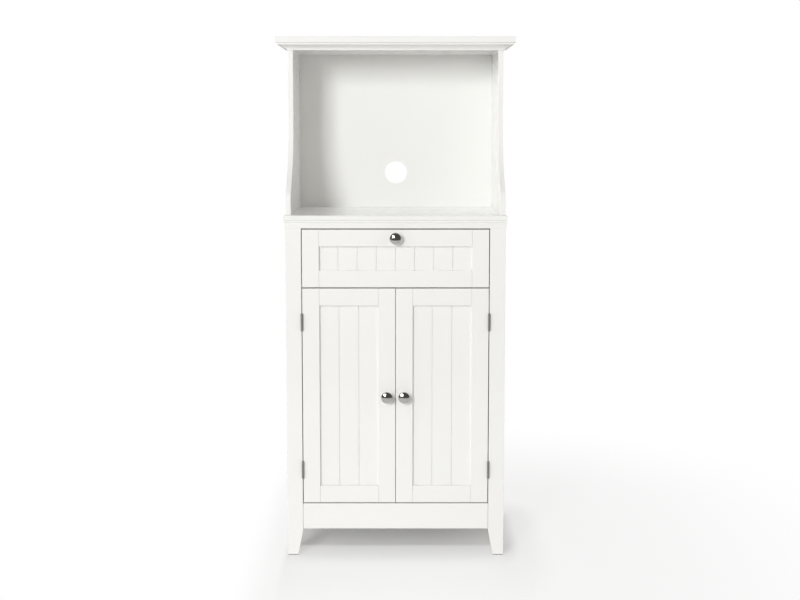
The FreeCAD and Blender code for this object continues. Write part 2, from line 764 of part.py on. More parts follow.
def runners():
    """Right-hand runner: channel on the batten, member under the drawer side, two rollers."""
    wall, steel, gap = post_inner, runner_steel, rolling_gap
    low = roller_height - roller_radius - gap
    high = roller_height + roller_radius + gap
    floor, roof = low - channel_play, high + channel_headroom
    y = (channel_front, channel_front + runner_length)
    channel = box((wall - steel, wall), y, (floor - steel, roof + steel))
    for z in ((floor - steel, floor), (roof, roof + steel)):
        channel = channel.fuse(box((wall - runner_flange, wall), y, z))
    front_axle = Vector(wall, channel_front + roller_inset, roller_height)
    front_roller_x = wall - steel - gap - roller_width
    axle = rod(roller_axle_radius, wall - front_roller_x + gap, front_axle, Vector(-1, 0, 0))
    head = rod(roller_head_radius, roller_head_thickness,
               Vector(front_roller_x - gap, front_axle.y, front_axle.z), Vector(-1, 0, 0))
    channel = channel.fuse(axle).fuse(head)

    member_y = (face_back + gap, face_back + gap + runner_length)
    member = box((box_half, box_half + steel), member_y, (low - steel, high + steel))
    member = member.fuse(box((box_half - box_board, box_half + steel), member_y, (low - steel, low)))
    member = member.fuse(box((box_half, wall - steel - member_lip_clearance), member_y,
                             (high, high + steel)))
    rear_axle = Vector(box_half, member_y[1] - roller_inset, floor + gap + roller_radius)
    rear_roller_x = box_half + steel + gap
    axle = rod(roller_axle_radius, steel + roller_width + 2 * gap, rear_axle, Vector(1, 0, 0))
    head = rod(roller_head_radius, roller_head_thickness,
               Vector(rear_roller_x + roller_width + gap, rear_axle.y, rear_axle.z), Vector(1, 0, 0))
    member = member.fuse(axle).fuse(head)

    channel_screws = [screw_and_hole(screw_head_radius, screw_radius, hinge_screw_length,
                                     Vector(wall - steel, place, roller_height), Vector(1, 0, 0))
                      for place in (y[0] + runner_screw_inset, y[1] - runner_screw_inset)]
    member_screws = [screw_and_hole(screw_head_radius, screw_radius, runner_screw_length,
                                    Vector(box_half + steel, place, roller_height), Vector(-1, 0, 0))
                     for place in (member_y[0] + runner_screw_inset, member_y[1] - runner_screw_inset)]
    return {
        "channel": cut_all(channel.removeSplitter(), [hole for _, hole in channel_screws]),
        "member": cut_all(member.removeSplitter(), [hole for _, hole in member_screws]),
        "front_roller": roller(front_roller_x, front_axle.y, front_axle.z),
        "rear_roller": roller(rear_roller_x, rear_axle.y, rear_axle.z),
        "channel_screws": [screw for screw, _ in channel_screws],
        "channel_holes": [hole for _, hole in channel_screws],
        "member_screws": [screw for screw, _ in member_screws],
        "member_holes": [hole for _, hole in member_screws],
    }


def drawer(runner_parts):
    face_x = (drawer_side_gap - post_inner, post_inner - drawer_side_gap)
    stiles, rails, panel = framed_front(face_x, (drawer_bottom, drawer_top), drawer_stile_width,
                                        drawer_rail_width, drawer_planks)
    knob_parts, knob_hole = knob(0, drawer_top - drawer_rail_width / 2)
    z = (box_bottom, box_bottom + box_height)
    inner = box_half - box_board
    bottom_z = (box_bottom + box_bottom_rise, box_bottom + box_bottom_rise + box_bottom_thickness)
    slot = box((-inner - box_groove_depth, inner + box_groove_depth),
               (face_back + box_board - box_groove_depth, box_back - box_board + box_groove_depth),
               bottom_z)
    reach = box_groove_depth - groove_play
    bottom = box((-inner - reach, inner + reach),
                 (face_back + box_board - reach, box_back - box_board + reach), bottom_z)
    side = box((inner, box_half), (face_back, box_back), z).cut(slot)
    side = cut_all(side, runner_parts["member_holes"])
    return {
        "drawer_stiles": stiles,
        "drawer_rails": [rails[0], rails[1].cut(knob_hole)],
        "drawer_panel": [panel],
        "drawer_knob": knob_parts,
        "drawer_box_front": [box((-inner, inner), (face_back, face_back + box_board), z).cut(slot)],
        "drawer_sides": both_sides(side),
        "drawer_box_back": [box((-inner, inner), (box_back - box_board, box_back), z).cut(slot)],
        "drawer_bottom": [bottom],
        "drawer_runner_members": both_sides(runner_parts["member"]),
        "drawer_runner_screws": [piece for screw in runner_parts["member_screws"]
                                 for piece in both_sides(screw)],
    }


# ---------------------------------------------------------------- the whole cabinet
def cabinet():
    hinge_parts = hinges()
    runner_parts = runners()
    nodes = base_cabinet(hinge_parts["frame_holes"], runner_parts["channel_holes"])
    nodes.update(worktop_and_hutch())
    nodes["runner_channels"] = both_sides(runner_parts["channel"])
    nodes["runner_channel_screws"] = [piece for screw in runner_parts["channel_screws"]
                                      for piece in both_sides(screw)]
    nodes["front_rollers"] = both_sides(runner_parts["front_roller"])
    nodes["rear_rollers"] = both_sides(runner_parts["rear_roller"])
    nodes["magnetic_catch"] = magnetic_catch()
    for name, part in (("hinge_frame_leaves", "frame_leaves"), ("hinge_pins", "pins"),
                       ("hinge_frame_screws", "frame_screws")):
        nodes[name] = [piece for leaf in hinge_parts[part] for piece in both_sides(leaf)]
    for name, pieces in door(hinge_parts).items():
        nodes["door_right_" + name] = pieces
        nodes["door_left_" + name] = [mirrored(piece) for piece in pieces]
    nodes.update(drawer(runner_parts))
    return nodes


os.makedirs("parts", exist_ok=True)
for node, pieces in cabinet().items():
    shape = pieces[0] if len(pieces) == 1 else Part.makeCompound(pieces)
    shape.exportStep("parts/" + node + ".step")
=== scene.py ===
import bmesh
import bpy
import json
import math
from mathutils import Matrix, Vector
from mathutils.geometry import interpolate_bezier

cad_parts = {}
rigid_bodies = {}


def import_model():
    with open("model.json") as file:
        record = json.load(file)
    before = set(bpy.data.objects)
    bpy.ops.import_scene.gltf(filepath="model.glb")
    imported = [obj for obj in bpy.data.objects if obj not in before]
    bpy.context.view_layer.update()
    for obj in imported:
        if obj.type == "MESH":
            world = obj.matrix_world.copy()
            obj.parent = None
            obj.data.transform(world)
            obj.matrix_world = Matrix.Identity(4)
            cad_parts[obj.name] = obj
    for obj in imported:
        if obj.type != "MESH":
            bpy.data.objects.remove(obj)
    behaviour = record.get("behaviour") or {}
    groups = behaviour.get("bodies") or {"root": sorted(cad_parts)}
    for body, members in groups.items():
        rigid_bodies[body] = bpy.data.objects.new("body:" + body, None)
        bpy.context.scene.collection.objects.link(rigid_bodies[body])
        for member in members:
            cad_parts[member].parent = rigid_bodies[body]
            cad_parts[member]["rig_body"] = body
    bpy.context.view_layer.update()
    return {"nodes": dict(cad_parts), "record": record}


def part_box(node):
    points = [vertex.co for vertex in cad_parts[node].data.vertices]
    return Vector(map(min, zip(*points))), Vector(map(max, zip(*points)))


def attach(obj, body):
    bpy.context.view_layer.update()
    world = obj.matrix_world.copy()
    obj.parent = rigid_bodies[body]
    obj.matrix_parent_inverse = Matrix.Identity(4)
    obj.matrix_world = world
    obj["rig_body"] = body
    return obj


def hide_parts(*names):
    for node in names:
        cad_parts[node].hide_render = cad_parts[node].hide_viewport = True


# White-painted microwave stand with a hutch, a drawer and two beadboard doors.
# Metres, in the frame's own axes: front towards -Y, floor at Z = 0.

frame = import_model()
MM = 0.001

# ---------------------------------------------------------------- sizes
CAMERA_PLACE = (0.0121, -3.7688, 1.1735)
CAMERA_PITCH = 6.133                    # degrees below the horizon
CAMERA_LENS = 60.39
CAMERA_SHIFT = -0.0375

FLOOR_FRONT = -2.45                     # where the pale floor ends, in front of the stand
FLOOR_REACH = 60.0
FLOOR_PAPER = 0.95                      # how much of the light the floor gives back
FLOOR_SHADE = 0.85                      # its colour as the camera sees it
FOOTPRINT = (0.295, 0.08, 0.195)        # the shadow's half width, and its reach forward and back
FADE_RIGHT, FADE_LEFT = 2.2, 20.0       # how fast the shadow fades in each direction
FADE_AHEAD, FADE_BACK = 0.6, 2.0
GLOW = ((0.0, 0.08), (0.02, 0.38), (0.13, 0.71), (0.35, 0.83), (2.6, 1.0))
                                        # faded distance from the shadow, share of plain white

ROOM_LIGHT = 0.01                       # strength of the even light all round
SIDE_LIGHT = 0.96                       # added from the left and right
BACK_LIGHT = 0.12                       # added from behind and above
HIGH_LIGHT = 0.39                       # added from above in front
LOW_LIGHT = 0.45                        # added from below in front
SIDEWAYS = (0.35, 0.85)                 # where along its direction a light starts, and is full
BEHIND = (-0.05, 0.25)
BEFORE = (-0.15, -0.55)
OVERHEAD = (0.15, 0.75)
HIGH = (0.15, 0.5)
LOW = (0.0, -0.3)
ROOM_COLOUR = (1.0, 0.975, 0.94)
MIRRORED_DARK = (0.08, 0.08, 0.078)     # the room's front, as glossy surfaces mirror it
KEY_PLACE = (-2.8, -7.2, 2.85)
KEY_AIM = (0.0, 0.0, 0.85)
KEY_SIZE = (1.8, 2.3)
KEY_POWER = 302.0
KEY_COLOUR = (0.99, 1.0, 0.99)

CASE_EASING = 0.9 * MM                  # radius on the arrises of posts, boards and fronts
JOINT_EASING = 0.3 * MM                 # radius where two boards meet flush
CASE_JOINT = 0.9 * MM                   # open line left where the apron and top rail meet the posts
FRONT_JOINT = 0.35 * MM                 # the same where a front's rails meet its stiles
STEEL_EASING = 0.15 * MM                # radius on hardware
EASING_STEPS = 3
EASED_ANGLE = math.radians(30)          # flatter edges stay as they are
SHORTEST_EASED = 2.5 * MM               # shorter edges belong to drilled holes
SHARP_ANGLE = math.radians(35)
FLAT_ANGLE = math.radians(0.3)          # triangles closer to level than this are one face
MERGED = 0.002 * MM                     # corners closer than this are one corner
TOUCH = 0.1 * MM                        # how close counts as lying on a plane

GROOVE_WIDTH = 1.3 * MM
GROOVE_DEPTH = 2.2 * MM
GROOVE_ARRIS = 0.5 * MM
GROOVE_STEPS = 3
FLAT_MARGIN = 0.05 * MM                 # keeps a rounded arris from shading the flat beside it
PLANK_PLAY = 0.02 * MM
PLANK_WELD = 0.001 * MM

KNOB_BASE = (8.0 * MM, 1.6 * MM)        # radius, then height above the front
KNOB_NECK = (5.5 * MM, 8.1 * MM)
KNOB_UNDER = (13.7 * MM, 16.4 * MM)     # where the underside turns into the rim
KNOB_RIM = (16.0 * MM, 20.0 * MM)       # the widest line
KNOB_SHOULDER = (13.9 * MM, 24.0 * MM)  # where the rim turns into the cap
KNOB_TIP = 27.0 * MM
KNOB_BORE = (2.05 * MM, 12.05 * MM)     # for the screw from behind
KNOB_SOFTENING = 0.6 * MM
KNOB_BELL = (4.0 * MM, 1.2 * MM)        # handles of the curves that meet at the underside's edge
KNOB_LIP = (1.6 * MM, 0.5 * MM)
KNOB_BROW = 1.2 * MM                    # and at the shoulder, along the dome's slope
KNOB_STEPS = 96
KNOB_ARC_STEPS = 14
KNOB_CORNER_STEPS = 5
KNOB_DOME_STEPS = 24

SCREW_STEPS = 24
SHANK_SHARE = 0.5                       # of a countersunk head's radius
PAN_HEAD = 2.2 * MM                     # thickness of the knob screws' heads
THREAD_PITCH = 1.4 * MM
THREAD_ROOT = 0.78                      # of the thread's outer radius
CROSS_REACH = 0.62                      # of the head's radius
CROSS_WIDTH = 0.24
CROSS_DEPTH = 0.5
CROSS_TAPER = 0.55
HEAD_SOFTENING = 0.2 * MM
CAM_CHAMFER = 0.5 * MM
CAM_CROSS = 0.6                         # cross recess, of the cam's radius
CAM_STEPS = 48
HINGE_SEED, STEEL_SEED, CAM_SEED, BOLT_SEED, KNOB_SEED = 0, 10, 20, 21, 30

PAINT_CLOUDS, PAINT_HAZE = 5.0, 38.0    # noise scales of a finish's shade and gloss
PAINT_RIPPLE, PAINT_DIMPLES = 90.0, 620.0
PAINT_RELIEF = 0.05 * MM
NICKEL_SMUDGE = 160.0
NICKEL_RINGS = 9000.0                   # radians of the turning marks per metre of radius
NICKEL_RELIEF = 0.02 * MM
STEEL_TARNISH, STEEL_GRAIN = 240.0, 1440.0
STEEL_RELIEF = 0.03 * MM
PLASTIC_FLOW, PLASTIC_SPARK = 60.0, 1500.0
PLASTIC_RELIEF = 0.03 * MM
PLASTIC_DULLING = 0.92

STILES = {
    "drawer": ["drawer_stiles"],
    "door_left": ["door_left_hinge_stile", "door_left_latch_stile"],
    "door_right": ["door_right_hinge_stile", "door_right_latch_stile"],
}
PLANKS = {"drawer": 8, "door_left": 3, "door_right": 3}


# ---------------------------------------------------------------- node trees
class Value:
    """One output of a node; arithmetic on it adds Math nodes to its tree."""

    def __init__(self, tree, socket):
        self.tree, self.socket = tree, socket

    def __add__(self, other):
        return self.tree.math("ADD", self, other)

    __radd__ = __add__

    def __sub__(self, other):
        return self.tree.math("SUBTRACT", self, other)

    def __rsub__(self, other):
        return self.tree.math("SUBTRACT", other, self)

    def __mul__(self, other):
        return self.tree.math("MULTIPLY", self, other)


class NodeTree:
    """Adds nodes to a material's, world's or modifier's tree."""

    def __init__(self, tree):
        self.tree = tree
        self.tree.nodes.clear()

    def node(self, kind, settings=None, inputs=None, output=0):
        """Any node: its settings first, then its sockets' values or links; gives one output."""
        made = self.tree.nodes.new(kind)
        for name, setting in (settings or {}).items():
            setattr(made, name, setting)
        for key, given in (inputs or {}).items():
            for item in given if isinstance(given, list) else [given]:
                self.feed(self.pick(made.inputs, key), item)
        return Value(self, self.pick(made.outputs, output)) if len(made.outputs) else None

    def feed(self, socket, item):
        if isinstance(item, Value):
            self.tree.links.new(item.socket, socket)
        else:
            socket.default_value = item

    @staticmethod
    def pick(sockets, key):
        if isinstance(key, int):
            return sockets[key]
        named = [socket for socket in sockets if socket.identifier == key]
        return named[0] if named else sockets[key]

    def math(self, operation, *values):
        return self.node("ShaderNodeMath", {"operation": operation}, dict(enumerate(values)))

    def vector(self, operation, *values, output=0):
        return self.node("ShaderNodeVectorMath", {"operation": operation},
                         dict(enumerate(values)), output)

    def mix(self, factor, a, b):
        """Colour between a and b."""
        return self.node("ShaderNodeMix", {"data_type": "RGBA"},
                         {"Factor_Float": factor, "A_Color": a, "B_Color": b}, "Result_Color")

    def noise(self, where, scale, detail=2.0, roughness=0.5, output="Fac"):
        return self.node("ShaderNodeTexNoise", None,
                         {"Vector": where, "Scale": scale, "Detail": detail,
                          "Roughness": roughness}, output)

    def object_place(self):
        return self.node("ShaderNodeTexCoord", output="Object")

    def smooth(self, value, start, end, low=0.0, high=1.0):
        """Goes softly from low to high as value goes from start to end."""
        return self.node("ShaderNodeMapRange", {"interpolation_type": "SMOOTHSTEP"},
                         {"Value": value, "From Min": start, "From Max": end,
                          "To Min": low, "To Max": high}, "Result")

    def spread(self, value, low, high):
        """Maps 0 to 1 onto low to high."""
        return value * (high - low) + low

    def bump(self, height, strength, distance):
        return self.node("ShaderNodeBump", None,
                         {"Strength": strength, "Distance": distance, "Height": height})


def material(name):
    made = bpy.data.materials.new(name)
    made.use_nodes = True
    return made, NodeTree(made.node_tree)


def principled(tree, sockets):
    shader = tree.node("ShaderNodeBsdfPrincipled", None, sockets)
    tree.node("ShaderNodeOutputMaterial", None, {"Surface": shader})


def rgb(red, green, blue):
    return (red, green, blue, 1.0)


def grey(level):
    return rgb(level, level, level)


# ---------------------------------------------------------------- finishes
def sprayed_paint(name, colour, shade, gloss, peel):
    """Paint with faint clouding, uneven gloss and the fine dimpling of a sprayed coat."""
    made, tree = material(name)
    where = tree.object_place()
    cloud = tree.noise(where, PAINT_CLOUDS, 3.0)
    haze = tree.noise(where, PAINT_HAZE)
    dimples = tree.noise(where, PAINT_DIMPLES, 1.0)
    ripple = tree.noise(where, PAINT_RIPPLE)
    principled(tree, {
        "Base Color": tree.mix(cloud, rgb(*colour), rgb(*shade)),
        "Roughness": tree.spread(haze, gloss - 0.04, gloss + 0.04),
        "Specular IOR Level": 0.5,
        "Normal": tree.bump(dimples + ripple * 2.0, peel, PAINT_RELIEF),
    })
    return made


def turned_nickel(name, centre):
    """Polished nickel with the faint rings that turning leaves, centred on a knob."""
    made, tree = material(name)
    where = tree.node("ShaderNodeMapping", {"vector_type": "POINT"},
                      {"Vector": tree.object_place(), "Location": tuple(-place for place in centre)})
    across = tree.vector("MULTIPLY", where, (1.0, 0.0, 1.0))
    radius = tree.vector("LENGTH", across, output="Value")
    rings = tree.math("SINE", radius * NICKEL_RINGS)
    smudge = tree.noise(where, NICKEL_SMUDGE, 3.0)
    principled(tree, {
        "Base Color": tree.mix(smudge, rgb(0.70, 0.69, 0.66), rgb(0.62, 0.61, 0.585)),
        "Metallic": 1.0,
        "Roughness": tree.spread(smudge, 0.08, 0.17),
        "Normal": tree.bump(rings, 0.05, NICKEL_RELIEF),
    })
    return made


def metal(name, light, dark, gloss, stretch=(1.0, 1.0, 1.0)):
    """Plated or bare metal with cloudy tarnish and a fine grain."""
    made, tree = material(name)
    where = tree.node("ShaderNodeMapping", {"vector_type": "POINT"},
                      {"Vector": tree.object_place(), "Scale": stretch})
    tarnish = tree.noise(where, STEEL_TARNISH, 4.0, 0.6)
    grain = tree.noise(where, STEEL_GRAIN)
    principled(tree, {
        "Base Color": tree.mix(tarnish, rgb(*light), rgb(*dark)),
        "Metallic": 1.0,
        "Roughness": tree.spread(tarnish, gloss - 0.08, gloss + 0.1),
        "Normal": tree.bump(grain, 0.15, STEEL_RELIEF),
    })
    return made


def moulded_plastic(name, colour, gloss):
    """Injection-moulded plastic with a fine spark-eroded texture."""
    made, tree = material(name)
    where = tree.object_place()
    texture = tree.noise(where, PLASTIC_SPARK, 1.0)
    flow = tree.noise(where, PLASTIC_FLOW)
    dull = tuple(share * PLASTIC_DULLING for share in colour)
    principled(tree, {
        "Base Color": tree.mix(flow, rgb(*colour), rgb(*dull)),
        "Roughness": tree.spread(flow, gloss - 0.05, gloss + 0.05),
        "Normal": tree.bump(texture, 0.2, PLASTIC_RELIEF),
    })
    return made


paint = sprayed_paint("white_satin_paint", (0.970, 0.970, 0.957), (0.957, 0.957, 0.943), 0.13, 0.15)
board_paint = sprayed_paint("white_board_paint", (0.965, 0.965, 0.952), (0.950, 0.950, 0.936),
                            0.46, 0.15)
back_paint = sprayed_paint("white_back_paint", (0.965, 0.965, 0.952), (0.950, 0.950, 0.936),
                           0.5, 0.2)
hinge_metal = metal("aged_hinge_steel", (0.46, 0.445, 0.42), (0.30, 0.29, 0.27), 0.42,
                    stretch=(1.0, 1.0, 0.35))
screw_metal = metal("bright_screw_steel", (0.62, 0.61, 0.58), (0.48, 0.47, 0.45), 0.3)
zinc_metal = metal("zinc_plate", (0.63, 0.64, 0.65), (0.48, 0.49, 0.51), 0.36)
# cam zinc: real cast zinc, but coloured far darker than the plain zinc above so the cams read as dark
# marks in the hutch sides; that darkness is painted shade
cam_metal_painted_shade = metal("cast_cam_zinc", (0.24, 0.235, 0.225), (0.16, 0.157, 0.15), 0.5)
enamel = sprayed_paint("runner_enamel", (0.87, 0.87, 0.85), (0.84, 0.84, 0.82), 0.3, 0.1)
nylon = moulded_plastic("roller_nylon", (0.80, 0.80, 0.77), 0.4)
catch_plastic = moulded_plastic("catch_plastic", (0.82, 0.82, 0.80), 0.35)
glide_plastic = moulded_plastic("glide_plastic", (0.42, 0.41, 0.39), 0.5)


# ---------------------------------------------------------------- meshes
def in_scene(name, data):
    made = bpy.data.objects.new(name, data)
    bpy.context.scene.collection.objects.link(made)
    return made


def body_holding(node):
    return frame["nodes"][node]["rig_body"]


def slot_of(node):
    return next(part["material_slot"] for part in frame["record"]["subparts"]
                if part["node"] == node)


def finished(name, mesh, node, finish=None):
    """Makes a mesh a piece that rides on its CAD node's body and stands for that node."""
    piece = in_scene(name, mesh)
    if finish is not None:
        mesh.materials.clear()
        mesh.materials.append(finish)
    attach(piece, body_holding(node))
    slot_of(node)
    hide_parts(node)
    return piece


def joined_up(node):
    """A CAD node's triangles with their corners merged and flat faces made whole."""
    shell = bmesh.new()
    shell.from_mesh(frame["nodes"][node].data)
    bmesh.ops.remove_doubles(shell, verts=shell.verts, dist=MERGED)
    bmesh.ops.dissolve_limit(shell, angle_limit=FLAT_ANGLE, verts=shell.verts,
                             edges=shell.edges, use_dissolve_boundaries=False)
    return shell


def mesh_from(shell, name):
    mesh = bpy.data.meshes.new(name)
    shell.to_mesh(mesh)
    shell.free()
    return mesh


def creased(mesh):
    """Smooth shading with the sharp edges kept."""
    mesh.shade_smooth()
    mesh.set_sharp_from_angle(angle=SHARP_ANGLE)
    return mesh


def solids_in(*nodes):
    """The corner points of each separate solid in some CAD nodes."""
    found = []
    for node in nodes:
        shell = joined_up(node)
        waiting = set(shell.verts)
        while waiting:
            reached, solid = [waiting.pop()], []
            while reached:
                vert = reached.pop()
                solid.append(vert.co.copy())
                beside = {edge.other_vert(vert) for edge in vert.link_edges} & waiting
                waiting -= beside
                reached += beside
            found.append(solid)
        shell.free()
    return found


def corners_of(points):
    """The lowest and highest corner of a box round some points."""
    return tuple(Vector(pick(point[axis] for point in points) for axis in range(3))
                 for pick in (min, max))


def near(value, target, margin=TOUCH):
    return abs(value - target) < margin


def ease(shell, width, is_fine):
    """Bevel weights on the long outside edges; fine edges get the joints' smaller radius."""
    layer = shell.edges.layers.float.new("bevel_weight_edge")
    for edge in shell.edges:
        if len(edge.link_faces) != 2 or edge.calc_length() < SHORTEST_EASED:
            continue
        if not edge.is_convex or edge.calc_face_angle() < EASED_ANGLE:
            continue
        middle = (edge.verts[0].co + edge.verts[1].co) / 2
        edge[layer] = JOINT_EASING / width if is_fine(middle) else 1.0


def part_from(shell, joints, line):
    """Draws the shoulders that lie at the joints back by the width of an open line."""
    middle = sum(joints) / 2
    for vert in shell.verts:
        if any(near(vert.co.x, joint) for joint in joints):
            vert.co.x -= math.copysign(line, vert.co.x - middle)


def as_mesh(carrier):
    """An object's mesh with its modifiers applied; the object itself goes."""
    bpy.context.view_layer.update()
    evaluated = carrier.evaluated_get(bpy.context.evaluated_depsgraph_get())
    mesh = bpy.data.meshes.new_from_object(evaluated)
    bpy.data.objects.remove(carrier)
    return mesh


def rounded(mesh, width):
    """The mesh with its weighted edges rounded."""
    carrier = in_scene(mesh.name, mesh)
    bevel = carrier.modifiers.new("eased_edges", "BEVEL")
    bevel.limit_method = "WEIGHT"
    bevel.width = width
    bevel.segments = EASING_STEPS
    bevel.use_clamp_overlap = False
    bevel.miter_outer = "MITER_ARC"
    return as_mesh(carrier)


def dress(node, finish, width=CASE_EASING, is_fine=lambda middle: False, joints=(), line=0.0):
    """A CAD node's own shape with eased edges and smooth curves, in its finish."""
    name = node + "_dressed"
    shell = joined_up(node)
    if joints:
        part_from(shell, joints, line)
    ease(shell, width, is_fine)
    mesh = creased(rounded(mesh_from(shell, name), width))
    flats = finished(name, mesh, node, finish).modifiers.new("flat_faces", "WEIGHTED_NORMAL")
    flats.keep_sharp = True


# ---------------------------------------------------------------- case
post_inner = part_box("front_post_right")[0].x
rail_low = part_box("front_top_rail")[0].z
apron_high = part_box("front_apron")[1].z


def case_joint(middle):
    """Edges where the posts, apron and top rail meet flush."""
    return (near(abs(middle.x), post_inner, CASE_JOINT + TOUCH)
            and (middle.z < apron_high + MM or middle.z > rail_low - MM))


for node in ("front_post_left", "front_post_right", "rear_posts"):
    dress(node, paint, is_fine=case_joint)
for node in ("front_apron", "front_top_rail"):
    dress(node, paint, is_fine=case_joint, joints=(-post_inner, post_inner), line=CASE_JOINT)
for node in ("side_panels", "worktop_board", "crown_board", "worktop_moulding_front",
             "worktop_moulding_sides", "crown_moulding_front", "crown_moulding_sides"):
    dress(node, paint, width=JOINT_EASING)
for node in ("hutch_side_left", "hutch_side_right", "hutch_top_panel"):
    dress(node, paint)
for node in ("cabinet_floor", "adjustable_shelf", "divider_rail", "rear_rails", "runner_battens"):
    dress(node, board_paint)
for node in ("cabinet_back", "hutch_back"):
    dress(node, back_paint, width=JOINT_EASING)
for node, finish in (("foot_glides", glide_plastic), ("magnetic_catch", catch_plastic),
                     ("front_rollers", nylon), ("rear_rollers", nylon),
                     ("runner_channels", enamel), ("drawer_runner_members", enamel),
                     ("hinge_frame_leaves", hinge_metal), ("hinge_pins", hinge_metal),
                     ("door_left_hinge_leaves", hinge_metal),
                     ("door_right_hinge_leaves", hinge_metal),
                     ("door_left_strike_plate", zinc_metal),
                     ("door_right_strike_plate", zinc_metal), ("shelf_pins", zinc_metal)):
    dress(node, finish, width=STEEL_EASING)


# ---------------------------------------------------------------- drawer box
for node in ("drawer_box_front", "drawer_sides", "drawer_box_back"):
    dress(node, board_paint)
dress("drawer_bottom", back_paint, width=JOINT_EASING)


# ---------------------------------------------------------------- doors and drawer front
def between(stiles):
    """X of the faces that a front's two stiles turn to each other."""
    sides = sorted((corners_of(solid) for solid in solids_in(*stiles)), key=lambda side: side[0].x)
    return sides[0][1].x, sides[-1][0].x


def framed_front(prefix, stiles):
    """Stiles and rails: crisp where they meet and round the panel, softer on the outside."""
    corners = [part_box(node) for node in stiles + [prefix + "_rails"]]
    low = [min(corner[0][axis] for corner in corners) for axis in range(3)]
    high = [max(corner[1][axis] for corner in corners) for axis in range(3)]

    def inner(middle):
        return not any(near(middle[axis], low[axis]) or near(middle[axis], high[axis])
                       for axis in (0, 2))

    for node in stiles:
        dress(node, paint, is_fine=inner)
    dress(prefix + "_rails", paint, is_fine=inner, joints=between(stiles), line=FRONT_JOINT)


for prefix, stiles in STILES.items():
    framed_front(prefix, stiles)


# ---------------------------------------------------------------- node groups for meshes
def group_inputs(group, **kinds):
    """Gives a Geometry Nodes tree its named inputs; returns them by name, and the tree."""
    group.interface.new_socket("Geometry", in_out="OUTPUT", socket_type="NodeSocketGeometry")
    for name, kind in kinds.items():
        group.interface.new_socket(name, in_out="INPUT", socket_type="NodeSocket" + kind)
    tree = NodeTree(group)
    given = tree.tree.nodes.new("NodeGroupInput")
    return lambda name: Value(tree, given.outputs[name]), tree


def end_tree(tree, geometry, finish):
    coated = tree.node("GeometryNodeSetMaterial", None, {"Geometry": geometry, "Material": finish})
    tree.node("NodeGroupOutput", None, {"Geometry": coated})


def grown(group, sizes, name, place=(0, 0, 0), points=None):
    """Runs a Geometry Nodes tree once and gives its result as a plain mesh at place."""
    carrier = in_scene(name, points or bpy.data.meshes.new(name))
    modifier = carrier.modifiers.new(name, "NODES")
    modifier.node_group = group
    for item in group.interface.items_tree:
        if item.in_out == "INPUT" and item.name in sizes:
            modifier[item.identifier] = sizes[item.name]
    mesh = as_mesh(carrier)
    mesh.transform(Matrix.Translation(place))
    return mesh


# ---------------------------------------------------------------- beadboard
def plank_tree():
    """Geometry Nodes: one plank's outline pushed up to a board and set side by side."""
    group = bpy.data.node_groups.new("plank_row", "GeometryNodeTree")
    named, tree = group_inputs(group, Outline="Object", Planks="Int", Pitch="Float",
                               Height="Float", Tongue="Float", Finish="Material")
    outline = tree.node("GeometryNodeObjectInfo", None, {"Object": named("Outline")}, "Geometry")
    rise = tree.node("ShaderNodeCombineXYZ", None, {"Z": named("Height")})
    walls = tree.node("GeometryNodeExtrudeMesh", None,
                      {"Mesh": outline, "Offset": rise, "Individual": False}, "Mesh")
    base = tree.node("GeometryNodeFlipFaces", None, {"Mesh": outline})
    board = tree.node("GeometryNodeMergeByDistance", None,
                      {"Geometry": tree.node("GeometryNodeJoinGeometry", None,
                                             {"Geometry": [walls, base]}),
                       "Distance": PLANK_WELD})
    places = tree.node("GeometryNodeMeshLine", None,
                       {"Count": named("Planks"),
                        "Offset": tree.node("ShaderNodeCombineXYZ", None, {"X": named("Pitch")})})
    row = tree.node("GeometryNodeInstanceOnPoints", None, {"Points": places, "Instance": board})
    solid = tree.node("GeometryNodeRealizeInstances", None, {"Geometry": row})
    across = tree.node("ShaderNodeSeparateXYZ", None,
                       {"Vector": tree.node("GeometryNodeInputPosition")}, "X")
    last = tree.math("GREATER_THAN", across, named("Pitch") * named("Planks") - GROOVE_WIDTH)
    first = tree.math("LESS_THAN", across, GROOVE_WIDTH)
    reach = tree.node("ShaderNodeCombineXYZ", None, {"X": (last - first) * named("Tongue")})
    tongued = tree.node("GeometryNodeSetPosition", None, {"Geometry": solid, "Offset": reach})
    end_tree(tree, tongued, named("Finish"))
    return group


def plank_outline(width, thickness):
    """Flat face seen from above: a board whose two front arrises round off into the groove."""
    half, round_off = GROOVE_WIDTH / 2, GROOVE_ARRIS
    turns = [math.pi / 2 * step / GROOVE_STEPS for step in range(GROOVE_STEPS + 1)]
    arris = ([(half + round_off + FLAT_MARGIN, 0.0)]
             + [(half + round_off * (1 - math.sin(turn)), round_off * (1 - math.cos(turn)))
                for turn in turns]
             + [(half, GROOVE_DEPTH), (0.0, GROOVE_DEPTH)])
    left = list(reversed(arris))
    right = [(width - x, y) for x, y in arris]
    shell = bmesh.new()
    shell.faces.new([shell.verts.new((x, y, 0.0)) for x, y in
                     left + right + [(width, thickness), (0.0, thickness)]])
    bmesh.ops.recalc_face_normals(shell, faces=shell.faces)
    return bpy.data.objects.new("plank_outline", mesh_from(shell, "plank_outline"))


plank_row = plank_tree()


def beadboard(node, stiles, planks):
    """Planks between the frame's stiles, their outer ones running on into its grooves."""
    name = node + "_planks"
    low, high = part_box(node)
    start, end = between(stiles)
    pitch = (end - start) / planks
    outline = plank_outline(pitch - PLANK_PLAY, high.y - low.y)
    mesh = grown(plank_row, {"Outline": outline, "Planks": planks, "Pitch": pitch,
                             "Height": high.z - low.z, "Tongue": start - low.x, "Finish": paint},
                 name, (start, low.y, low.z))
    bpy.data.objects.remove(outline)
    finished(name, creased(mesh), node)


for prefix, planks in PLANKS.items():
    beadboard(prefix + "_panel", STILES[prefix], planks)


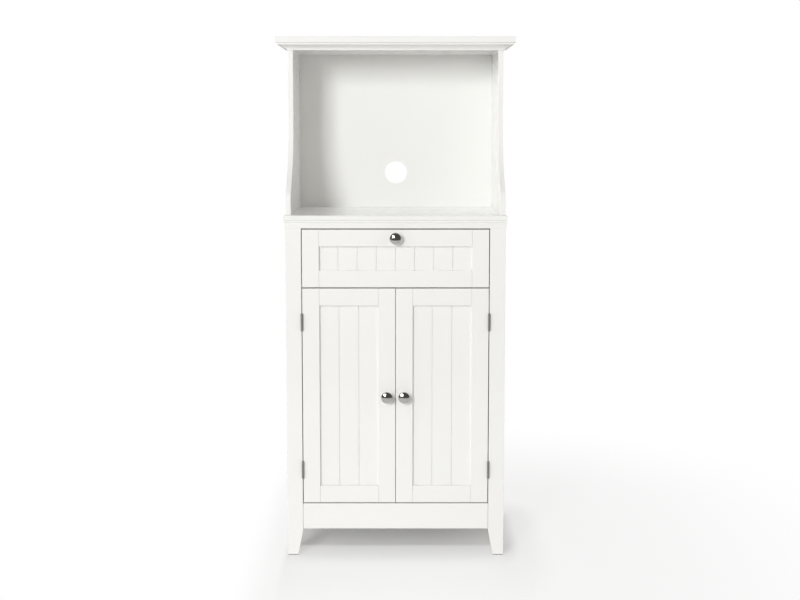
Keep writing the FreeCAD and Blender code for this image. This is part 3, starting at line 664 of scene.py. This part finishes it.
# ---------------------------------------------------------------- turned work
def lathe(outline, steps):
    """Turns (radius, height) points about Z; a radius of 0 closes the end."""
    shell = bmesh.new()
    turns = [math.tau * step / steps for step in range(steps)]
    rings = [[shell.verts.new((radius * math.cos(turn), radius * math.sin(turn), height))
              for turn in (turns if radius else turns[:1])] for radius, height in outline]
    for lower, upper in zip(rings, rings[1:]):
        for step in range(steps):
            corners = (lower[step % len(lower)], lower[(step + 1) % len(lower)],
                       upper[(step + 1) % len(upper)], upper[step % len(upper)])
            shell.faces.new(dict.fromkeys(corners))
    return shell


def swept(start, leave, arrive, end, steps):
    """Points of a smooth curve from start to end, pulled towards two handles."""
    points = [Vector((*point, 0.0)) for point in (start, leave, arrive, end)]
    return [tuple(point.xy) for point in interpolate_bezier(*points, steps)]


def knob_outline():
    """Mushroom knob from the middle of its base to the tip: waisted neck, round rim, flat dome."""
    base, neck, under, rim, shoulder = KNOB_BASE, KNOB_NECK, KNOB_UNDER, KNOB_RIM, KNOB_SHOULDER
    rise = KNOB_TIP - shoulder[1]
    ball = (shoulder[0] ** 2 + rise ** 2) / (2 * rise)
    spread = math.asin(shoulder[0] / ball)
    turns = [spread * (1 - step / KNOB_DOME_STEPS) for step in range(1, KNOB_DOME_STEPS)]
    dome = [(ball * math.sin(turn), KNOB_TIP - ball * (1 - math.cos(turn))) for turn in turns]
    rounding = (shoulder[1] - rim[1]) / 2
    soft = (base[0] - KNOB_SOFTENING, base[1])
    low_neck = (neck[0], (neck[1] + base[1]) / 2)
    high_neck = (neck[0], (neck[1] + under[1]) / 2)
    bell = (under[0] - KNOB_BELL[0], under[1] - KNOB_BELL[1])
    lip = (under[0] + KNOB_LIP[0], under[1] + KNOB_LIP[1])
    brow = (shoulder[0] + KNOB_BROW * math.cos(spread), shoulder[1] - KNOB_BROW * math.sin(spread))
    bore = [(0.0, KNOB_BORE[1]), KNOB_BORE, (KNOB_BORE[0], 0.0)]
    return (bore + [(base[0], 0.0)]
            + swept((base[0], base[1] - KNOB_SOFTENING), base, base, soft, KNOB_CORNER_STEPS)
            + swept(soft, (neck[0], base[1]), low_neck, neck, KNOB_ARC_STEPS)[1:]
            + swept(neck, high_neck, bell, under, KNOB_ARC_STEPS)[1:]
            + swept(under, lip, (rim[0], rim[1] - rounding), rim, KNOB_ARC_STEPS)[1:]
            + swept(rim, (rim[0], rim[1] + rounding), brow, shoulder, KNOB_ARC_STEPS)[1:]
            + dome + [(0.0, KNOB_TIP)])


def cross_points(reach, width):
    """Outline of a cross with four equal arms."""
    points = []
    for quarter in range(4):
        turn = Matrix.Rotation(quarter * math.pi / 2, 2)
        points += [turn @ Vector(point) for point in ((reach, -width), (reach, width), (width, width))]
    return points


def driven_head(outline, head_radius, steps=SCREW_STEPS):
    """Turned work whose open top gets a flat face with a tapered cross recess in it."""
    shell = lathe(outline, steps)
    top = outline[-1][1]
    rim = [edge for edge in shell.edges if edge.is_boundary]
    cross = cross_points(head_radius * CROSS_REACH, head_radius * CROSS_WIDTH)
    mouth = [shell.verts.new((*point, top)) for point in cross]
    bed = [shell.verts.new((*(point * CROSS_TAPER), top - head_radius * CROSS_DEPTH))
           for point in cross]
    following = mouth[1:] + mouth[:1]
    edges = [shell.edges.new(pair) for pair in zip(mouth, following)]
    bmesh.ops.triangle_fill(shell, use_beauty=True, edges=rim + edges)
    for index, corner in enumerate(mouth):
        beside = (index + 1) % len(mouth)
        shell.faces.new((corner, mouth[beside], bed[beside], bed[index]))
    shell.faces.new(bed)
    bmesh.ops.recalc_face_normals(shell, faces=shell.faces)
    return shell


def threads(radius, start, end):
    """Ridges of a thread between two heights."""
    count = max(int((end - start) / THREAD_PITCH), 1)
    pitch = (end - start) / count
    return [point for index in range(count)
            for point in ((radius * THREAD_ROOT, start + index * pitch),
                          (radius, start + (index + 0.5) * pitch))]


def screw_outline(head_radius, shank_radius, length):
    """Pointed tip, threads and a countersunk head whose face is at height 0."""
    neck = shank_radius - head_radius
    return ([(0.0, -length)] + threads(shank_radius, shank_radius - length, neck - THREAD_PITCH)
            + [(shank_radius, neck - THREAD_PITCH), (shank_radius, neck),
               (head_radius, -HEAD_SOFTENING), (head_radius - HEAD_SOFTENING, 0.0)])


def pan_outline(head_radius, shank_radius, length):
    """Blunt end, threads and a pan head whose face is at height 0."""
    return ([(0.0, -length)] + threads(shank_radius, -length, -PAN_HEAD)
            + [(shank_radius, -PAN_HEAD), (head_radius, -PAN_HEAD),
               (head_radius, -2 * HEAD_SOFTENING), (head_radius - 2 * HEAD_SOFTENING, 0.0)])


def bolt_outline(radius, length):
    """Cam bolt: a plain neck below, and threads in the panel above."""
    return ([(0.0, -length), (radius * THREAD_ROOT, -length), (radius * THREAD_ROOT, -length / 2),
             (radius, -length / 2)] + threads(radius, -length / 2, 0.0) + [(radius, 0.0), (0.0, 0.0)])


def cam_outline(radius, depth):
    """Plain disc whose chamfered face is at height 0."""
    return [(0.0, -depth), (radius, -depth), (radius, -CAM_CHAMFER), (radius - CAM_CHAMFER, 0.0)]


def fastener_tree():
    """Geometry Nodes: one fastener on each point, facing the point's way and turned at random."""
    group = bpy.data.node_groups.new("fasteners", "GeometryNodeTree")
    named, tree = group_inputs(group, Points="Geometry", Pattern="Object", Seed="Int",
                               Finish="Material")
    pattern = tree.node("GeometryNodeObjectInfo", None, {"Object": named("Pattern")}, "Geometry")
    facing = tree.node("GeometryNodeInputNamedAttribute", {"data_type": "FLOAT_VECTOR"},
                       {"Name": "facing"}, "Attribute")
    aimed = tree.node("FunctionNodeAlignRotationToVector", {"axis": "Z"}, {"Vector": facing})
    placed = tree.node("GeometryNodeInstanceOnPoints", None,
                       {"Points": named("Points"), "Instance": pattern, "Rotation": aimed})
    turn = tree.node("FunctionNodeRandomValue", {"data_type": "FLOAT"},
                     {"Min_001": 0.0, "Max_001": math.tau, "Seed": named("Seed")}, "Value_001")
    spin = tree.node("ShaderNodeCombineXYZ", None, {"Z": turn})
    driven = tree.node("GeometryNodeRotateInstances", None,
                       {"Instances": placed, "Rotation": spin, "Local Space": True})
    solid = tree.node("GeometryNodeRealizeInstances", None, {"Geometry": driven})
    end_tree(tree, solid, named("Finish"))
    return group


fasteners = fastener_tree()


def seat_of(points):
    """A fastener's seat from its CAD solid: its head's middle, the way it faces, radius, length."""
    low, high = corners_of(points)
    size, middle = high - low, (low + high) / 2
    axis = max(range(3), key=lambda way: size[way])

    def reach(end):
        return max((point[way] - middle[way] for point in points if near(point[axis], end)
                    for way in range(3) if way != axis), default=0.0)

    ends = {-1.0: reach(low[axis]), 1.0: reach(high[axis])}
    sign = max(ends, key=ends.get)
    facing = Vector([sign * (way == axis) for way in range(3)])
    return middle + facing * size[axis] / 2, facing, ends[sign], size[axis]


def seated(name, pattern, seats, finish, seed):
    """One pattern set at each seat by the fastener tree, as a plain mesh."""
    points = bpy.data.meshes.new(name)
    points.from_pydata([seat[0] for seat in seats], [], [])
    facings = points.attributes.new("facing", "FLOAT_VECTOR", "POINT")
    facings.data.foreach_set("vector", [share for seat in seats for share in seat[1]])
    source = bpy.data.objects.new(name + "_pattern", mesh_from(pattern, name + "_pattern"))
    mesh = grown(fasteners, {"Pattern": source, "Seed": seed, "Finish": finish}, name, points=points)
    bpy.data.objects.remove(source)
    return creased(mesh)


def screws(node, finish, seed):
    """Countersunk screws, each flush where its CAD solid is."""
    seats = [seat_of(solid) for solid in solids_in(node)]
    head_radius, length = seats[0][2:]
    pattern = driven_head(screw_outline(head_radius, head_radius * SHANK_SHARE, length), head_radius)
    name = node + "_driven"
    finished(name, seated(name, pattern, seats, finish, seed), node)


for seed, node in enumerate(("hinge_frame_screws", "door_left_hinge_screws",
                             "door_right_hinge_screws"), HINGE_SEED):
    screws(node, hinge_metal, seed)
for seed, node in enumerate(("drawer_runner_screws", "runner_channel_screws", "hutch_screws"),
                            STEEL_SEED):
    screws(node, screw_metal, seed)


def cams(node):
    """Cam discs in the hutch sides, and the bolts that they draw down."""
    discs, bolts = [], []
    for solid in solids_in(node):
        low, high = corners_of(solid)
        middle, size = (low + high) / 2, high - low
        is_upright = size.z > 2 * size.y
        if is_upright:
            bolts.append((Vector((middle.x, middle.y, high.z)), Vector((0, 0, 1)), size.x / 2, size.z))
        else:
            inward = -math.copysign(1.0, middle.x)
            face = Vector((middle.x + inward * size.x / 2, middle.y, middle.z))
            discs.append((face, Vector((inward, 0, 0)), size.z / 2, size.x))
    radius, depth = discs[0][2:]
    disc = driven_head(cam_outline(radius, depth), radius * CAM_CROSS, CAM_STEPS)
    bolt_radius, length = bolts[0][2:]
    bolt = lathe(bolt_outline(bolt_radius, length), SCREW_STEPS)
    # the discs' dark colour is painted shade, standing for the shade round the cams
    finished("cam_discs", seated("cam_discs", disc, discs, cam_metal_painted_shade, CAM_SEED), node)
    finished("cam_bolts", seated("cam_bolts", bolt, bolts, cam_metal_painted_shade, BOLT_SEED), node)


cams("cam_fittings")


def width_of(points):
    low, high = corners_of(points)
    return high.x - low.x


def knob(node):
    """A turned knob and the pan-head screw that holds it from behind."""
    screw, body = sorted(solids_in(node), key=width_of)
    low, high = corners_of(body)
    foot = Vector(((low.x + high.x) / 2, high.y, (low.z + high.z) / 2))
    turned = lathe(knob_outline(), KNOB_STEPS)
    bmesh.ops.recalc_face_normals(turned, faces=turned.faces)
    mesh = mesh_from(turned, node + "_turned")
    mesh.transform(Matrix.Translation(foot) @ Matrix.Rotation(math.pi / 2, 4, "X"))
    finished(node + "_turned", creased(mesh), node, turned_nickel(node + "_nickel", foot))
    seat = seat_of(screw)
    head_radius, length = seat[2:]
    pattern = driven_head(pan_outline(head_radius, head_radius * SHANK_SHARE, length), head_radius)
    finished(node + "_screw", seated(node + "_screw", pattern, [seat], screw_metal, KNOB_SEED), node)


for prefix in STILES:
    knob(prefix + "_knob")


# ---------------------------------------------------------------- stage
def beyond(tree, one_side, other_side):
    """How far outside a span: the larger of two signed distances, or nothing."""
    return tree.math("MAXIMUM", tree.math("MAXIMUM", one_side, other_side), 0.0)


def stage_floor():
    """Pale floor that keeps the shadow under the stand and whitens with distance from it."""
    reach = FLOOR_REACH
    mesh = bpy.data.meshes.new("pale_floor")
    mesh.from_pydata([(-reach, FLOOR_FRONT, 0), (reach, FLOOR_FRONT, 0), (reach, reach, 0),
                      (-reach, reach, 0)], [], [(0, 1, 2, 3)])
    made, tree = material("pale_floor")
    across, along = [tree.node("ShaderNodeSeparateXYZ", None, {"Vector": tree.object_place()}, axis)
                     for axis in "XY"]
    half_width, ahead, back = FOOTPRINT
    across = beyond(tree, (across - half_width) * FADE_RIGHT, (-half_width - across) * FADE_LEFT)
    along = beyond(tree, (-ahead - along) * FADE_AHEAD, (along - back) * FADE_BACK)
    away = tree.math("SQRT", across * across + along * along)
    glow = sum((tree.smooth(away, start, end, 0.0, high - low)
                for (start, low), (end, high) in zip(GLOW, GLOW[1:])), GLOW[0][1])
    path = tree.node("ShaderNodeLightPath", output="Is Camera Ray")
    paper = tree.node("ShaderNodeBsdfDiffuse", None, {"Color": grey(FLOOR_PAPER)})
    lit = tree.node("ShaderNodeBsdfDiffuse", None, {"Color": grey(FLOOR_SHADE)})
    white = tree.node("ShaderNodeEmission", None, {"Color": grey(1.0), "Strength": 1.0})
    seen = tree.node("ShaderNodeMixShader", None, {0: glow, 1: lit, 2: white})
    both = tree.node("ShaderNodeMixShader", None, {0: path, 1: paper, 2: seen})
    tree.node("ShaderNodeOutputMaterial", None, {"Surface": both})
    mesh.materials.append(made)
    floor = in_scene("pale_floor", mesh)


def key_lamp():
    """A soft box in front of the stand, to the left and above."""
    data = bpy.data.lights.new("key_softbox", "AREA")
    data.shape = "RECTANGLE"
    data.size, data.size_y = KEY_SIZE
    data.energy, data.color = KEY_POWER, KEY_COLOUR
    lamp = in_scene("key_softbox", data)
    lamp.location = KEY_PLACE
    aim = Vector(KEY_AIM) - Vector(KEY_PLACE)
    lamp.rotation_euler = aim.to_track_quat("-Z", "Y").to_euler()


def room():
    """A white room, lightest on both sides, with more light from the front high and low."""
    world = bpy.data.worlds.new("room")
    bpy.context.scene.world = world
    world.use_nodes = True
    tree = NodeTree(world.node_tree)
    direction = tree.node("ShaderNodeTexCoord", output="Generated")
    across, depth, rise = [tree.node("ShaderNodeSeparateXYZ", None, {"Vector": direction}, axis)
                           for axis in "XYZ"]
    behind = tree.smooth(depth, *BEHIND)
    before = tree.smooth(depth, *BEFORE)
    sideways = tree.smooth(tree.math("ABSOLUTE", across), *SIDEWAYS)
    strength = (ROOM_LIGHT + sideways * SIDE_LIGHT
                + behind * tree.smooth(rise, *OVERHEAD) * BACK_LIGHT
                + before * tree.smooth(rise, *HIGH) * HIGH_LIGHT
                + before * tree.smooth(rise, *LOW) * LOW_LIGHT)
    walls = tree.node("ShaderNodeBackground", None,
                      {"Color": rgb(*ROOM_COLOUR), "Strength": strength})
    white = tree.node("ShaderNodeBackground", None, {"Color": grey(1.0), "Strength": 1.0})
    dark = tree.node("ShaderNodeBackground", None, {"Color": rgb(*MIRRORED_DARK), "Strength": 1.0})
    mirrored = tree.node("ShaderNodeMixShader", None, {0: behind, 1: dark, 2: white})
    glossy = tree.node("ShaderNodeLightPath", output="Is Glossy Ray")
    camera = tree.node("ShaderNodeLightPath", output="Is Camera Ray")
    indirect = tree.node("ShaderNodeMixShader", None, {0: glossy, 1: walls, 2: mirrored})
    both = tree.node("ShaderNodeMixShader", None, {0: camera, 1: indirect, 2: white})
    tree.node("ShaderNodeOutputWorld", None, {"Surface": both})


def place_camera():
    data = bpy.data.cameras.new("camera")
    data.lens, data.shift_y = CAMERA_LENS, CAMERA_SHIFT
    camera = in_scene("camera", data)
    camera.location = CAMERA_PLACE
    camera.rotation_euler = (math.radians(90 - CAMERA_PITCH), 0, 0)
    bpy.context.scene.camera = camera


stage_floor()
key_lamp()
room()
place_camera()
bpy.context.scene.view_settings.view_transform = "Standard"
